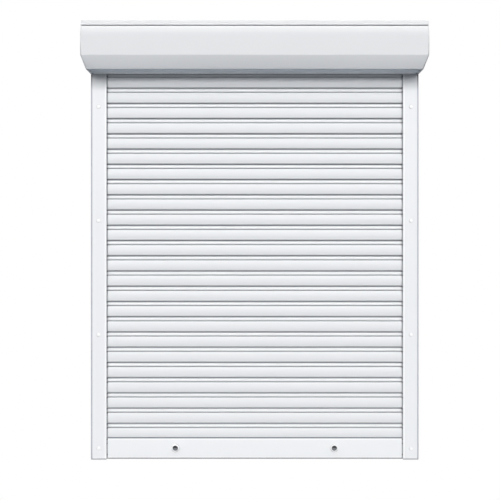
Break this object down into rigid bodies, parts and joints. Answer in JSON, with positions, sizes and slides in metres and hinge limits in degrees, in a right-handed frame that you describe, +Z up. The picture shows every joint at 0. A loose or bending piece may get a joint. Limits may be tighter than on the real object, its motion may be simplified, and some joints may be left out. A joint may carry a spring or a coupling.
{
  "type": "exterior roller shutter",
  "caption": "White exterior roller shutter with a sloped shutter box, motorised roller, interlocking hollow slats, bottom bar with stops and two wall-fixed guide rails; the curtain lifts.",
  "frame": {"origin": "centre of the outer four wall-fixing holes of the guide rails, on the wall plane", "axes": "+X to the right along the roller seen from outside, +Y into the wall, +Z up"},
  "size_m": [1.116, 0.142, 1.4573],
  "materials": {
    "white_aluminium": "satin white powder coat",
    "dark_rubber": "matt extruded rubber",
    "white_plastic": "moulded, slight gloss",
    "grey_plastic": "moulded, matt",
    "black_plastic": "moulded, matt",
    "zinc_steel": "zinc plated",
    "dark_steel": "black zinc",
    "motor_steel": null
  },
  "bodies": {
    "housing": {"rail_left": "white_aluminium", "rail_right": "white_aluminium", "rail_seals_left": "dark_rubber", "rail_seals_right": "dark_rubber", "rail_screw_caps": "white_plastic", "rail_foot_caps": "grey_plastic", "rail_inlets": "grey_plastic", "end_cap_left": "white_aluminium", "end_cap_right": "white_aluminium", "box_back_panel": "white_aluminium", "box_top_panel": "white_aluminium", "box_front_panel": "white_aluminium", "box_inspection_panel": "white_aluminium", "inspection_screws": "zinc_steel", "panel_rivets": "white_aluminium", "cable_bushing": "dark_rubber", "motor_bracket": "zinc_steel", "tubular_motor": "motor_steel", "bearing_holder": "zinc_steel", "bearing_outer_ring": "zinc_steel", "bracket_screws": "dark_steel"},
    "curtain": {"slat_01": "white_aluminium", "slat_02": "white_aluminium", "slat_03": "white_aluminium", "slat_04": "white_aluminium", "slat_05": "white_aluminium", "slat_06": "white_aluminium", "slat_07": "white_aluminium", "slat_08": "white_aluminium", "slat_09": "white_aluminium", "slat_10": "white_aluminium", "slat_11": "white_aluminium", "slat_12": "white_aluminium", "slat_13": "white_aluminium", "slat_14": "white_aluminium", "slat_15": "white_aluminium", "slat_16": "white_aluminium", "slat_17": "white_aluminium", "slat_18": "white_aluminium", "slat_19": "white_aluminium", "slat_20": "white_aluminium", "slat_21": "white_aluminium", "slat_22": "white_aluminium", "slat_23": "white_aluminium", "slat_24": "white_aluminium", "slat_end_clips": "grey_plastic", "bottom_bar": "white_aluminium", "bottom_seal": "dark_rubber", "bottom_bar_end_caps": "grey_plastic", "end_stops": "white_plastic", "stop_screws": "dark_steel"},
    "roller": {"roller_tube": "zinc_steel", "limit_crown": "black_plastic", "drive_wheel": "black_plastic", "motor_shaft": "zinc_steel", "idler_capsule": "black_plastic", "idler_pin": "zinc_steel", "bearing_inner_ring": "zinc_steel", "bearing_balls": "zinc_steel", "hanger_straps": "zinc_steel"}
  },
  "joints": [
    {"name": "curtain_lift", "type": "slide", "parent": "housing", "child": "curtain", "axis": [0, 0, 1], "range_m": [0, 1.2589], "deforming": ["slat_01", "slat_02", "slat_03", "slat_04", "slat_05", "slat_06", "slat_07", "slat_08", "slat_09", "slat_10", "slat_11", "slat_12", "slat_13", "slat_14", "slat_15", "slat_16", "slat_17", "slat_18", "slat_19", "slat_20", "slat_21", "slat_22", "slat_23", "slat_24", "slat_end_clips"]},
    {"name": "roller_turn", "type": "hinge", "parent": "housing", "child": "roller", "pos_m": [0, -0.071, 0.76625], "axis": [1, 0, 0], "range_deg": [0, 1501], "deforming": ["hanger_straps"]}
  ],
  "couplings": [
    {"joint": "roller_turn", "follows": "curtain_lift", "rad_per_m": 20.8}
  ]
}
